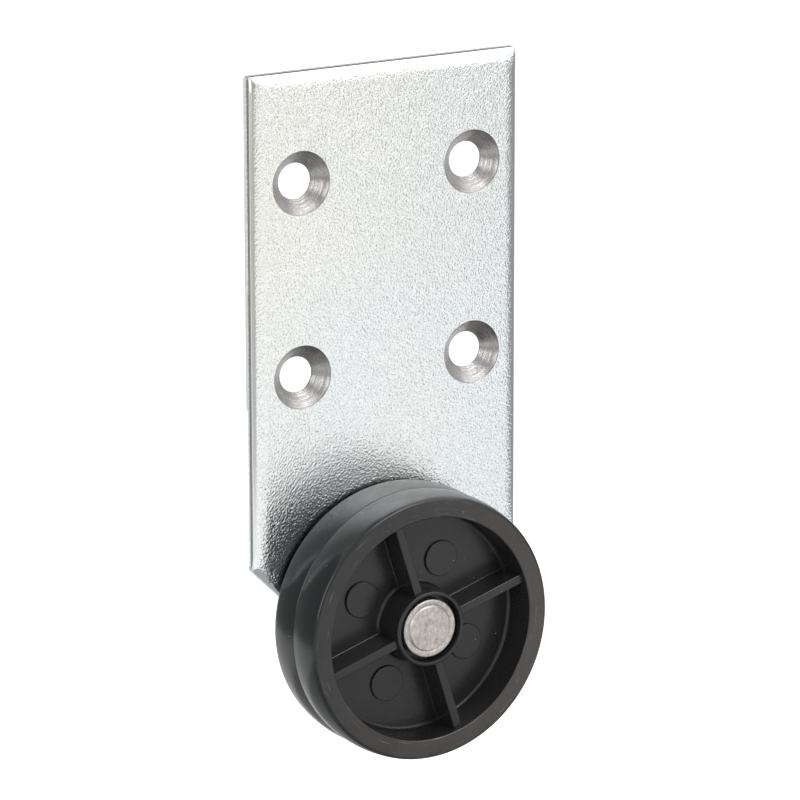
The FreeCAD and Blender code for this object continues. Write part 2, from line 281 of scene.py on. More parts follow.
def pick(piece, kind, wanted):
    """In edit mode, selects only the verts, edges or faces for which wanted is true."""
    bpy.ops.mesh.select_mode(type={"verts": "VERT", "edges": "EDGE", "faces": "FACE"}[kind])
    bpy.ops.mesh.select_all(action="DESELECT")
    mesh = bmesh.from_edit_mesh(piece.data)
    chosen = [item for item in getattr(mesh, kind) if wanted(item)]
    if not chosen:
        raise RuntimeError(f"{piece.name} has no such {kind}")
    for item in chosen:
        item.select_set(True)
    mesh.select_flush_mode()
    bmesh.update_edit_mesh(piece.data)


def near(first, second):
    return abs(first - second) < SAME


def from_axis(vertex, centre):
    """A vertex's distance from an axis along Y through centre."""
    return math.hypot(vertex.co.x - centre.x, vertex.co.z - centre.z)


def on_ring(vertex, ring, centre):
    """True for a vertex on a ring of (radius, y) about an axis along Y."""
    return near(from_axis(vertex, centre), ring[0]) and near(vertex.co.y, ring[1])


def slice_all(place, normal):
    """In edit mode, cuts new edges into the whole mesh along a plane."""
    bpy.ops.mesh.select_all(action="SELECT")
    bpy.ops.mesh.bisect(plane_co=place, plane_no=normal)


def round_edges(piece, wanted, radius, segments):
    """In edit mode, rounds the edges for which wanted is true. One segment cuts them flat."""
    pick(piece, "edges", wanted)
    bpy.ops.mesh.bevel(offset=radius, segments=segments, affect="EDGES", clamp_overlap=False)


def round_rings(piece, rings, radius, segments, centre=AXLE):
    """In edit mode, rounds the edges that lie on the given rings."""
    round_edges(piece, lambda edge: any(
        all(on_ring(vertex, ring, centre) for vertex in edge.verts) for ring in rings), radius, segments)


def turn(name, profile, segments, centre=AXLE, closed=False):
    """Turns a profile of (radius, y) about an axis along Y, by extruding a circle from ring to ring."""
    clear_selection()
    radius, y = profile[0]
    bpy.ops.mesh.primitive_circle_add(vertices=segments, radius=radius, location=(centre.x, y, centre.z),
                                      rotation=(math.radians(90), 0, 0))
    piece = name_new(name)
    edit(piece)
    bpy.ops.mesh.select_all(action="SELECT")
    for next_radius, next_y in profile[1:]:
        bpy.ops.mesh.extrude_region_move(TRANSFORM_OT_translate={"value": (0, next_y - y, 0)})
        growth = next_radius / radius
        bpy.ops.transform.resize(value=(growth, 1, growth), center_override=(centre.x, next_y, centre.z))
        radius, y = next_radius, next_y
    ends = (profile[0], profile[-1])
    if closed:
        pick(piece, "verts", lambda vertex: any(on_ring(vertex, ring, centre) for ring in ends))
        bpy.ops.mesh.bridge_edge_loops()
    else:
        for ring in ends:
            pick(piece, "verts", lambda vertex: on_ring(vertex, ring, centre))
            bpy.ops.mesh.edge_face_add()
    bpy.ops.mesh.select_all(action="SELECT")
    bpy.ops.mesh.normals_make_consistent(inside=False)
    return piece


def combine(piece, other, operation):
    """Joins or cuts a piece with another solid, which is used up."""
    select(piece)
    bpy.ops.object.modifier_add(type="BOOLEAN")
    step = piece.modifiers[-1]
    step.operation = operation
    step.solver = "EXACT"
    step.object = other
    bpy.ops.object.modifier_apply(modifier=step.name)
    bpy.data.objects.remove(other)


def join(pieces):
    clear_selection()
    for piece in pieces:
        piece.select_set(True)
    bpy.context.view_layer.objects.active = pieces[0]
    bpy.ops.object.join()
    return pieces[0]


def copy_about_axle(piece, angles):
    """Copies of a piece turned about the axle, from +X towards +Z, joined into one object."""
    copies = []
    place = Matrix.Translation(AXLE)
    for turned in angles:
        select(piece)
        bpy.ops.object.duplicate()
        copy = bpy.context.object
        copy.matrix_world = place @ Matrix.Rotation(-turned, 4, "Y") @ place.inverted()
        bpy.ops.object.transform_apply()
        copies.append(copy)
    bpy.data.objects.remove(piece)
    return join(copies)


def finish_piece(piece, node):
    """Scales a piece to metres, shades it and lets it stand for its CAD node."""
    select(piece)
    piece.scale = (MM, MM, MM)
    bpy.ops.object.transform_apply()
    bpy.ops.object.shade_smooth_by_angle(angle=SHARP_ANGLE)
    bpy.ops.object.modifier_add(type="WEIGHTED_NORMAL")
    piece.modifiers[-1].keep_sharp = True
    bpy.ops.object.modifier_apply(modifier=piece.modifiers[-1].name)
    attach(piece, frame["nodes"][node]["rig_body"])
    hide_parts(node)


def new_material(name):
    """A material without nodes, and the function that adds nodes to it."""
    material = bpy.data.materials.new(name)
    return material, start_nodes(material)


def start_nodes(owner):
    """Empties the node tree of a material or world, and gives the function that adds nodes to it."""
    owner.use_nodes = True
    owner.node_tree.nodes.clear()
    return partial(add_node, owner.node_tree)


def add_node(tree, kind, settings=None, links=None):
    """Adds a shader node, sets its properties or the values of its sockets, and links sockets into it.

    A whole node can be linked too, and gives its first output in use."""
    node = tree.nodes.new("ShaderNode" + kind)
    for key, value in (settings or {}).items():
        if isinstance(key, str) and hasattr(node, key):
            setattr(node, key, value)
        else:
            node.inputs[key].default_value = value
    for key, source in (links or {}).items():
        if isinstance(source, bpy.types.Node):
            source = next(socket for socket in source.outputs if socket.enabled)
        tree.links.new(source, node.inputs[key])
    return node


def per_size(millimetres):
    """A texture scale whose pattern repeats about once in a length, on Object coordinates in metres."""
    return PER_M / millimetres


def rgba(values):
    return (*values, 1.0)


def zinc_plated_steel(finish):
    """Zinc plating over a blasted sheet: a bright metal with a fine orange-peel grain and faint tints.

    The press drew the rolled edges smooth, so the grain fades out where the surface turns away. The grain's
    pits are painted darker, as painted shade."""
    cooling = (9.0, 0.0, -6.0)  # per metre: the tint turns bluish towards the lower right
    slant, stretch = (0.0, math.radians(45), 0.0), (1.0, 1.0, 1.2)  # longer grains up to the right
    material, add = new_material("zinc_plated_steel")
    coordinates = add("TexCoord").outputs
    place = coordinates["Object"]
    cloud = add("TexNoise", {"Scale": per_size(28), "Detail": 1.0}, {"Vector": place})
    across = add("VectorMath", {"operation": "DOT_PRODUCT", 1: cooling}, {0: place})
    coolness = add("Math", {"operation": "ADD", "use_clamp": True}, {0: cloud, 1: across})
    tone = add("Mix",
               {"data_type": "RGBA", MIX_FROM: rgba(finish.zinc_warm), MIX_TO: rgba(finish.zinc_cool)},
               {MIX_SHARE: coolness})
    facing = add("VectorMath", {"operation": "DOT_PRODUCT", 1: (0.0, -1.0, 0.0)},
                 {0: coordinates["Normal"]})
    either_side = add("Math", {"operation": "ABSOLUTE"}, {0: facing})
    flatness = add("MapRange", {"From Min": 0.84, "From Max": 0.97}, {"Value": either_side})
    slanted = add("Mapping", {"vector_type": "TEXTURE", "Rotation": slant, "Scale": stretch},
                  {"Vector": place})
    grain = add("TexNoise", {"Scale": per_size(0.32), "Detail": 1.5, "Roughness": 0.5}, {"Vector": slanted})
    # Painted shade: on the flat faces the grain's pits are darkened in the base colour.
    pit_shade = add("MapRange", {"From Min": 0.32, "From Max": 0.5, "To Min": 0.88, "To Max": 1.0},
               {"Value": grain})
    pit_shaded_tone = add("Mix", {"data_type": "RGBA", "blend_type": "MULTIPLY"},
                 {MIX_SHARE: flatness, MIX_FROM: tone, MIX_TO: pit_shade})
    relief = add("Bump", {"Distance": 0.115 * MM}, {"Height": grain, "Strength": flatness})
    wear = add("TexNoise", {"Scale": per_size(6), "Detail": 2.0}, {"Vector": place})
    dullness = add("MapRange", {"To Min": 0.1, "To Max": 0.17}, {"Value": wear})
    surface = add("BsdfPrincipled", {"Metallic": 1.0},
                  {"Base Color": pit_shaded_tone, "Roughness": dullness, "Normal": relief})
    add("OutputMaterial", links={"Surface": surface})
    return material


def machined_steel(finish):
    """Steel cut by a countersinking tool: dull and warm grey, with rings left by the cutter's lips.

    The plate's four quarters are folded onto one, so that the rings lie round every screw hole."""
    even_end, dark_mouth_start = 5.26 * MM, 5.44 * MM  # from the hole's axis: the cone is darker in a ragged band at its mouth
    material, add = new_material("machined_steel")
    place = add("TexCoord").outputs["Object"]
    folded = add("VectorMath", {"operation": "ABSOLUTE"}, {0: place})
    centred = add("VectorMath", {"operation": "SUBTRACT", 1: HALF_PITCH * MM}, {0: folded})
    flat = add("VectorMath", {"operation": "MULTIPLY", 1: (1.0, 0.0, 1.0)}, {0: centred})
    reach = add("VectorMath", {"operation": "LENGTH"}, {0: flat})
    blotch = add("TexNoise", {"Scale": per_size(1.6), "Detail": 3.0, "Roughness": 0.6}, {"Vector": place})
    wobble = add("Math", {"operation": "MULTIPLY_ADD", 1: 0.3 * MM}, {0: blotch, 2: reach})
    lips = add("TexNoise",
               {"noise_dimensions": "1D", "Scale": per_size(0.12), "Detail": 2.0, "Roughness": 0.7},
               {"W": wobble})
    relief = add("Bump", {"Strength": 1.0, "Distance": 0.046 * MM}, {"Height": lips})
    # The cone turns darker in a ragged band near its mouth.
    away_from_mouth = add("MapRange",
                {"From Min": even_end, "From Max": dark_mouth_start, "To Min": 1.0, "To Max": 0.15},
                {"Value": wobble})
    cut = add("Math", {"operation": "MULTIPLY"}, {0: blotch, 1: away_from_mouth})
    tone = add("Mix",
               {"data_type": "RGBA", MIX_FROM: rgba(finish.machined_dark), MIX_TO: rgba(finish.machined)},
               {MIX_SHARE: cut})
    surface = add("BsdfPrincipled", {"Metallic": 1.0, "Roughness": 0.27},
                  {"Base Color": tone, "Normal": relief})
    add("OutputMaterial", links={"Surface": surface})
    return material


def sheared_steel(finish):
    """The press's cut through the sheet: a dark burnished land, then a torn grey fracture with streaks. Faces
    that turn upward are painted darker, as painted shade.
    """
    land_end, torn_start = -0.92 * MM, -0.84 * MM  # from the back face
    material, add = new_material("sheared_steel")
    coordinates = add("TexCoord").outputs
    place = coordinates["Object"]
    drawn_out = add("Mapping", {"Scale": (1.0, 0.2, 1.0)}, {"Vector": place})
    streaks = add("TexNoise", {"Scale": per_size(0.3), "Detail": 3.0, "Roughness": 0.6},
                  {"Vector": drawn_out})
    depth = add("SeparateXYZ", links={"Vector": place}).outputs["Y"]
    ragged = add("Math", {"operation": "MULTIPLY_ADD", 1: 0.12 * MM}, {0: streaks, 2: depth})
    torn = add("MapRange", {"From Min": land_end, "From Max": torn_start}, {"Value": ragged})
    upward = add("VectorMath", {"operation": "DOT_PRODUCT", 1: (0.0, 0.0, 1.0)}, {0: coordinates["Normal"]})
    # Painted shade: the sheared faces darken as they turn upward.
    top = add("MapRange", {"From Min": 0.4, "From Max": 0.8, "To Min": 1.0, "To Max": 0.25},
              {"Value": upward})
    torn_and_top_shade = add("Math", {"operation": "MULTIPLY"}, {0: torn, 1: top})
    tone = add("Mix", {"data_type": "RGBA", MIX_FROM: rgba(finish.burnished), MIX_TO: rgba(finish.torn)},
               {MIX_SHARE: torn_and_top_shade})
    dullness = add("MapRange", {"To Min": 0.25, "To Max": 0.85}, {"Value": torn})
    relief = add("Bump", {"Strength": 1.0, "Distance": 0.05 * MM}, {"Height": streaks})
    surface = add("BsdfPrincipled", {"Metallic": 1.0},
                  {"Base Color": tone, "Roughness": dullness, "Normal": relief})
    add("OutputMaterial", links={"Surface": surface})
    return material


def rivet_steel(finish):
    """Dull plated steel of the rivet's head, mottled where the heading tool flattened it."""
    material, add = new_material("rivet_steel")
    place = add("TexCoord").outputs["Object"]
    upright = add("Mapping", {"Scale": (1.0, 1.0, 0.6)}, {"Vector": place})
    mottle = add("TexNoise", {"Scale": per_size(0.6), "Detail": 4.0, "Roughness": 0.7}, {"Vector": upright})
    patches = add("MapRange", {"From Min": 0.28, "From Max": 0.72}, {"Value": mottle})
    tone = add("Mix", {"data_type": "RGBA", MIX_FROM: rgba(finish.rivet_dark), MIX_TO: rgba(finish.rivet)},
               {MIX_SHARE: patches})
    dullness = add("MapRange", {"To Min": 0.3, "To Max": 0.55}, {"Value": mottle})
    relief = add("Bump", {"Strength": 1.0, "Distance": 0.024 * MM}, {"Height": mottle})
    surface = add("BsdfPrincipled", {"Metallic": 1.0},
                  {"Base Color": tone, "Roughness": dullness, "Normal": relief})
    add("OutputMaterial", links={"Surface": surface})
    return material


def black_plastic(finish):
    """Black polypropylene as it came from the mould: satin, with a scuffed rim face and a dusty tread.

    Scratches run round the axle on the rim's face, and flecks of dust lie all over. The rim's face is also
    painted paler towards the lower right, as painted light."""
    lower_right_light = (20.0, 0.0, -14.0)  # per metre: the face is painted paler towards the lower right, as painted light
    # The finishes of the rim's face and of the tread set in at the edge values and are full at the others.
    face_edge, face_full = (WHEEL_LOW.y + 0.25) * MM, (WHEEL_LOW.y + 0.05) * MM
    tread_edge, tread_full = (TREAD_RADIUS - 0.75) * MM, (TREAD_RADIUS - 0.25) * MM
    material, add = new_material("black_plastic")
    place = add("TexCoord").outputs["Object"]
    centred = add("Mapping", {"Location": -AXLE * MM}, {"Vector": place})
    flat = add("VectorMath", {"operation": "MULTIPLY", 1: (1.0, 0.0, 1.0)}, {0: centred})
    reach = add("VectorMath", {"operation": "LENGTH"}, {0: flat})
    depth = add("SeparateXYZ", links={"Vector": place}).outputs["Y"]
    face = add("MapRange", {"From Min": face_edge, "From Max": face_full}, {"Value": depth})
    cloud = add("TexNoise", {"Scale": per_size(5), "Detail": 4.0, "Roughness": 0.6}, {"Vector": place})
    # Painted light: the rim's face gets paler towards the lower right, on top of the random scuffs.
    painted_light_slope = add("VectorMath", {"operation": "DOT_PRODUCT", 1: lower_right_light}, {0: centred})
    scuff_and_light = add("Math", {"operation": "ADD", "use_clamp": True}, {0: cloud, 1: painted_light_slope})
    scuff_and_light_share = add("Math", {"operation": "MULTIPLY"}, {0: face, 1: scuff_and_light})
    scuffed_and_lit = add("Mix",
               {"data_type": "RGBA", MIX_FROM: rgba(finish.plastic), MIX_TO: rgba(finish.plastic_scuffed_and_lit)},
               {MIX_SHARE: scuff_and_light_share})
    rolling = add("MapRange", {"From Min": tread_edge, "From Max": tread_full}, {"Value": reach})
    tone = add("Mix", {"data_type": "RGBA", MIX_TO: rgba(finish.plastic_tread)},
               {MIX_SHARE: rolling, MIX_FROM: scuffed_and_lit})
    parts = add("SeparateXYZ", links={"Vector": centred}).outputs
    bearing = add("Math", {"operation": "ARCTAN2"}, {0: parts["X"], 1: parts["Z"]})
    polar = add("CombineXYZ", {"Z": 0.0}, {"X": bearing, "Y": reach})
    arcs = add("Mapping", {"Scale": (4.0, per_size(0.2), 1.0)}, {"Vector": polar})
    streaks = add("TexNoise", {"Scale": 1.0, "Detail": 2.0}, {"Vector": arcs})
    scratched = add("MapRange", {"From Min": 0.645, "From Max": 0.84}, {"Value": streaks})
    specks = add("TexVoronoi", {"Scale": per_size(2.0)}, {"Vector": place})
    chance = add("SeparateXYZ", links={"Vector": specks.outputs["Color"]})
    chosen = add("Math", {"operation": "GREATER_THAN", 1: 0.7}, {0: chance})
    small = add("Math", {"operation": "LESS_THAN", 1: 0.045}, {0: specks})
    fleck = add("Math", {"operation": "MULTIPLY"}, {0: chosen, 1: small})
    scratch = add("Math", {"operation": "MULTIPLY"}, {0: scratched, 1: face})
    marks = add("Math", {"operation": "MAXIMUM"}, {0: fleck, 1: scratch})
    marked = add("Mix", {"data_type": "RGBA", MIX_TO: rgba(finish.dust)},
                 {MIX_SHARE: marks, MIX_FROM: tone})
    dullness = add("MapRange", {"To Min": 0.2, "To Max": 0.36}, {"Value": cloud})
    polish = add("MapRange", {"To Min": 1.0, "To Max": 0.7}, {"Value": rolling})
    gloss = add("Math", {"operation": "MULTIPLY"}, {0: dullness, 1: polish})
    grain = add("TexNoise", {"Scale": per_size(0.5), "Detail": 2.0}, {"Vector": place})
    relief = add("Bump", {"Strength": 1.0, "Distance": 0.012 * MM}, {"Height": grain})
    surface = add("BsdfPrincipled", {"IOR": 1.49, "Specular IOR Level": 0.45},
                  {"Base Color": marked, "Roughness": gloss, "Normal": relief})
    add("OutputMaterial", links={"Surface": surface})
    return material


def assign(piece, slot_number, wanted):
    """Gives the faces for which wanted is true one of the piece's materials."""
    edit(piece)
    pick(piece, "faces", wanted)
    piece.active_material_index = slot_number
    bpy.ops.object.material_slot_assign()
    clear_selection()


class ROLLER_OT_mounting_plate(bpy.types.Operator):
    """Models the stamped plate with its rolled edges, sheared sides and countersunk holes"""
    bl_idname = "roller.mounting_plate"
    bl_label = "Mounting plate"

    def execute(self, context):
        sizes = in_millimetres(context.scene.roller_plate)
        finish = context.scene.roller_finish
        piece = self.stamp(sizes)
        self.tear_sides(piece, sizes)
        self.drill(piece, sizes)
        for material in (zinc_plated_steel, machined_steel, sheared_steel):
            piece.data.materials.append(material(finish))
        self.assign_finishes(piece, sizes)
        finish_piece(piece, "mounting_plate")
        return {"FINISHED"}

    def stamp(self, sizes):
        """Cuts the outline and rolls its front edges.

        The roll is made round on a thicker blank, and the blank's front is then pressed back flat."""
        depth, width = sizes.edge_roll, sizes.roll_width
        roll_start = PLATE_LOW.y + depth
        blank = Vector((PLATE_LOW.x, roll_start - width, PLATE_LOW.z))
        clear_selection()
        bpy.ops.mesh.primitive_cube_add(size=1, location=(blank + PLATE_HIGH) / 2, scale=PLATE_HIGH - blank)
        piece = name_new("stamped_plate")
        edit(piece)
        round_edges(piece, lambda edge: all(near(vertex.co.z, PLATE_LOW.z) for vertex in edge.verts)
                    and self.runs_through(edge), sizes.corner_cut, segments=1)
        round_edges(piece, lambda edge: all(near(vertex.co.y, blank.y) for vertex in edge.verts),
                    width, segments=12)
        pick(piece, "verts", lambda vertex: vertex.co.y < roll_start + SAME)
        bpy.ops.transform.resize(value=(1, depth / width, 1), center_override=(0, roll_start, 0))
        self.cut_near_corners(sizes)
        fading = PLATE_LOW.y + depth / 4  # in front of this the corners of the roll stay mitred
        round_edges(piece, lambda edge: self.runs_through(edge)
                    and all(vertex.co.y > fading for vertex in edge.verts),
                    sizes.corner_radius, segments=4)
        return piece

    def runs_through(self, edge):
        """True for an edge that runs through the sheet, not along one of its faces."""
        return not near(edge.verts[0].co.y, edge.verts[1].co.y)

    def cut_near_corners(self, sizes):
        """Cuts the long faces of the rolled edges near the corners, so that their shading stays even."""
        left, right, top, bottom = PLATE_LOW.x, PLATE_HIGH.x, PLATE_HIGH.z, PLATE_LOW.z
        cut = sizes.corner_cut
        inset = 1.2 * sizes.roll_width  # just past the end of the mitres
        outline = [Vector((x, 0, z)) for x, z in (
            (left, top), (right, top), (right, bottom + cut), (right - cut, bottom),
            (left + cut, bottom), (left, bottom + cut))]
        for number, start in enumerate(outline):
            end = outline[number - 1]
            along = (end - start).normalized()
            for place in (start + along * inset, end - along * inset):
                slice_all(place, along)

    def tear_sides(self, piece, sizes):
        """Roughens the torn part of the sheared sides, which steps in on the left below a nib."""
        land = -sizes.fracture_depth
        lip = 0.06  # mm, from the land to the torn part
        nib = -sizes.nib_height
        ramp = 0.3  # mm, half the height of the nib's slope
        long_edge = 5  # mm, edges longer than this are divided
        cuts = 40
        step = sizes.nib_step
        bulge = 0.35 * step  # the torn part stands out by this above the nib

        def is_torn(vertex):
            return vertex.co.y > land + lip / 2

        edit(piece)
        for y in (land, land + lip, land / 2):
            slice_all((0, y, 0), (0, 1, 0))
        for z in (nib + ramp, nib - ramp):
            slice_all((0, 0, z), (0, 0, 1))
        for above, shift in ((True, -bulge), (False, step - bulge)):
            pick(piece, "verts", lambda vertex: is_torn(vertex) and vertex.co.x < PLATE_LOW.x + SAME
                 and (vertex.co.z > nib) == above)
            bpy.ops.transform.translate(value=(shift, 0, 0))
        pick(piece, "edges", lambda edge: all(is_torn(vertex) for vertex in edge.verts)
             and not self.runs_through(edge) and edge.calc_length() > long_edge
             and any(self.is_side(face) for face in edge.link_faces))
        bpy.ops.mesh.subdivide(number_cuts=cuts)
        pick(piece, "verts", lambda vertex: is_torn(vertex)
             and any(self.is_side(face) for face in vertex.link_faces))
        bpy.ops.transform.vertex_random(offset=sizes.fracture_rough, seed=3)

    def is_side(self, face):
        """True for a face that stands across the sheet rather than along it."""
        return abs(face.normal.y) < SIDE_LIMIT

    def assign_finishes(self, piece, sizes):
        """Gives the screw holes their cut finish and the outer sides their sheared one."""
        margin = 0.2  # mm, round the countersink's mouth
        mouth = sizes.countersink_width / 2 + margin
        roll_start = PLATE_LOW.y + sizes.edge_roll

        def in_screw_hole(face):
            return abs(face.normal.y) < WALL_LIMIT and all(
                math.hypot(abs(vertex.co.x) - HALF_PITCH.x, abs(vertex.co.z) - HALF_PITCH.z) < mouth
                for vertex in face.verts)

        assign(piece, 1, in_screw_hole)
        assign(piece, 2, lambda face: self.is_side(face) and not in_screw_hole(face)
               and all(vertex.co.y > roll_start - SAME for vertex in face.verts)
               and from_axis(face.verts[0], AXLE) > sizes.peen_width)

    def drill(self, piece, sizes):
        """Cuts the countersunk screw holes and the rivet hole."""
        front, back = PLATE_LOW.y, PLATE_HIGH.y
        hole = SCREW_HOLES["hole_r_mm"]
        mouth = sizes.countersink_width / 2
        beyond = 1.0  # mm, the cutters reach this far out of the plate
        screw_hole = [(hole, back + beyond), (hole, front + mouth - hole), (mouth + beyond, front - beyond)]
        cutters = []
        for across in (-1, 1):
            for along in (-1, 1):
                centre = Vector((across * HALF_PITCH.x, 0, along * HALF_PITCH.z))
                cutters.append(turn("screw_hole", screw_hole, HOLE_SEGMENTS, centre))
        tenon = sizes.rivet_hole_width / 2
        peen = sizes.peen_width / 2
        rivet_hole = [(peen + beyond, back + beyond), (tenon, back - (peen - tenon)), (tenon, front - beyond)]
        cutters.append(turn("rivet_hole", rivet_hole, HOLE_SEGMENTS))
        combine(piece, join(cutters), "DIFFERENCE")


class ROLLER_OT_axle_rivet(bpy.types.Operator):
    """Turns the shoulder rivet with its raised head and peened tail"""
    bl_idname = "roller.axle_rivet"
    bl_label = "Axle rivet"

    def execute(self, context):
        sizes = in_millimetres(context.scene.roller_rivet)
        plate = in_millimetres(context.scene.roller_plate)
        head = (RIVET_HIGH.x - RIVET_LOW.x) / 2
        shank = sizes.shank_width / 2
        tenon = plate.rivet_hole_width / 2
        peen = plate.peen_width / 2
        face = head - sizes.face_inset
        groove = sizes.groove_width
        face_y = RIVET_LOW.y
        head_y = face_y + sizes.face_height
        seat_y = head_y + sizes.head_thickness
        back, front = PLATE_HIGH.y, PLATE_LOW.y
        profile = [
            (peen, back),
            (tenon, back - (peen - tenon)),
            (tenon, front),
            (shank, front),
            (shank, seat_y),
            (head, seat_y),
            (head, head_y),
            (face + groove, head_y),
            (face + groove / 2, head_y + sizes.groove_depth),
            (face, face_y),
        ]
        piece = turn("shoulder_rivet", profile, RIVET_SEGMENTS)
        round_rings(piece, [(head, head_y)], sizes.edge_radius, segments=4)
        round_rings(piece, [(peen, back)], sizes.tail_radius, segments=3)
        piece.data.materials.append(rivet_steel(context.scene.roller_finish))
        finish_piece(piece, "axle_rivet")
        return {"FINISHED"}


class ROLLER_OT_wheel(bpy.types.Operator):
    """Models the moulded wheel: rim, web, hub, ribs and ejector pads"""
    bl_idname = "roller.wheel"
    bl_label = "Wheel"

    def execute(self, context):
        sizes = in_millimetres(context.scene.roller_wheel)
        piece = self.turn_rim_and_hub(sizes)
        ribs = self.make_ribs(sizes)
        pads = self.make_pads(sizes)
        combine(piece, join([ribs, pads]), "UNION")
        piece.data.materials.append(black_plastic(context.scene.roller_finish))
        finish_piece(piece, "wheel")
        return {"FINISHED"}

    def levels(self, sizes):
        """The wheel's places along the axle, in millimetres."""
        front = WHEEL_LOW.y
        web_front = front + sizes.pocket_depth
        return {
            "front": front,
            "back": PLATE_LOW.y - sizes.plate_gap,
            "web_front": web_front,
            "web_back": web_front + sizes.web_thickness,
            "hub_front": front + sizes.hub_setback,
            "hub_back": WHEEL_HIGH.y,
        }

    def turn_rim_and_hub(self, sizes):
        """Turns the section of rim, web and hub, and rounds its corners."""
        at = self.levels(sizes)
        taper = math.tan(sizes.draft)
        edge = TREAD_RADIUS - sizes.edge_drop
        mouth = edge - sizes.rim_wall
        hub = sizes.hub_width / 2
        seat = sizes.seat_width / 2
        bore = sizes.bore_width / 2
        parting = (at["front"] + at["back"]) / 2
        groove = sizes.parting_groove
        seat_y = at["hub_front"] + sizes.seat_depth
        hub_root_back = (hub + (at["hub_back"] - at["web_back"]) * taper, at["web_back"])
        hub_root_front = (hub + (at["web_front"] - at["hub_front"]) * taper, at["web_front"])
        rim_root_back = (mouth - (at["back"] - at["web_back"]) * taper, at["web_back"])
        rim_root_front = (mouth - (at["web_front"] - at["front"]) * taper, at["web_front"])
        tread_edges = [(edge, at["back"]), (edge, at["front"])]
        mouths = [(mouth, at["back"]), (mouth, at["front"])]
        hub_edge, seat_edge = (hub, at["hub_front"]), (seat, at["hub_front"])
        profile = [
            (bore, at["hub_back"]),
            (hub, at["hub_back"]),
            hub_root_back,
            rim_root_back,
            mouths[0],
            *self.tread_half(sizes, tread_edges[0], (TREAD_RADIUS, parting + groove)),
            (TREAD_RADIUS - groove, parting),
            *self.tread_half(sizes, (TREAD_RADIUS, parting - groove), tread_edges[1]),
            mouths[1],
            rim_root_front,
            hub_root_front,
            hub_edge,
            seat_edge,
            (seat, seat_y),
            (bore, seat_y),
        ]
        roots = [hub_root_back, hub_root_front, rim_root_back, rim_root_front]
        piece = turn("moulded_wheel", profile, sizes.segments, closed=True)
        round_rings(piece, roots, sizes.root_radius, segments=6)
        round_rings(piece, tread_edges, sizes.tread_edge_radius, segments=5)
        round_rings(piece, [*mouths, hub_edge], sizes.mouth_radius, segments=3)
        round_rings(piece, [seat_edge], sizes.seat_radius, segments=2)
        return piece

    def tread_half(self, sizes, start, end):
        """Rings along one half of the tread, which bulges between start and end."""
        steps = 6
        bulge = sizes.crown_radius
        first, last = Vector(start), Vector(end)
        chord = last - first
        outward = Vector((abs(chord.y), abs(chord.x) * (1 if chord.x * chord.y < 0 else -1))).normalized()
        centre = (first + last) / 2 - outward * math.sqrt(bulge ** 2 - (chord.length / 2) ** 2)
        rings = []
        for step in range(steps + 1):
            point = first.lerp(last, step / steps)
            rings.append(tuple(centre + (point - centre).normalized() * bulge))
        return rings

    def make_ribs(self, sizes):
        """One rib through the web with a rounded foot, copied round the axle."""
        at = self.levels(sizes)
        inner = (sizes.seat_width + sizes.hub_width) / 4
        outer = TREAD_RADIUS - sizes.edge_drop - sizes.rim_wall / 2
        front = at["front"] + sizes.rib_setback
        back = at["back"] - sizes.rib_setback
        thickness = sizes.rib_thickness
        sunk = 0.004  # mm, keeps the foot's faces clear of the web's faces in the union
        foot = (at["web_front"] + sunk, at["web_back"] - sunk)

        def runs_out(edge):
            """True for an edge that runs from the hub to the rim."""
            return not near(edge.verts[0].co.x, edge.verts[1].co.x)

        def in_foot_corner(vertex):
            on_side = near(abs(vertex.co.z - AXLE.z), thickness / 2)
            return on_side and any(near(vertex.co.y, y) for y in foot)

        clear_selection()
        bpy.ops.mesh.primitive_cube_add(
            size=1, location=(AXLE.x + (inner + outer) / 2, (front + back) / 2, AXLE.z),
            scale=(outer - inner, back - front, thickness))
        rib = name_new("rib")
        edit(rib)
        for y in foot:
            slice_all((0, y, 0), (0, 1, 0))
        pick(rib, "faces", lambda face: abs(face.normal.z) > 0.5
             and near(face.calc_center_median().y, sum(foot) / 2))
        bpy.ops.mesh.extrude_region_move()
        bpy.ops.transform.resize(value=(1, 1, 2), center_override=AXLE)
        round_edges(rib, lambda edge: runs_out(edge) and all(in_foot_corner(vertex) for vertex in edge.verts),
                    sizes.rib_root_radius, segments=4)
        round_edges(rib, lambda edge: runs_out(edge) and all(
            near(vertex.co.y, front) or near(vertex.co.y, back) for vertex in edge.verts),
            sizes.rib_edge_radius, segments=3)
        return copy_about_axle(rib, self.directions(sizes))

    def make_pads(self, sizes):
        """One round ejector pad on the web, copied to the middle between each two ribs."""
        at = self.levels(sizes)
        radius = sizes.pad_width / 2
        front = at["web_front"] - sizes.pad_height
        middle = (at["web_front"] + at["web_back"]) / 2
        centre = AXLE + Vector((sizes.pad_reach, 0, 0))
        pad = turn("ejector_pad", [(radius, middle), (radius, front)], PAD_SEGMENTS, centre)
        round_rings(pad, [(radius, front)], sizes.pad_edge_radius, segments=3, centre=centre)
        halfway = math.pi / sizes.rib_count
        return copy_about_axle(pad, [direction + halfway for direction in self.directions(sizes)])

    def directions(self, sizes):
        """The ribs' directions from the axle, as angles from +X towards +Z."""
        return [sizes.rib_angle + 2 * math.pi * number / sizes.rib_count for number in range(sizes.rib_count)]


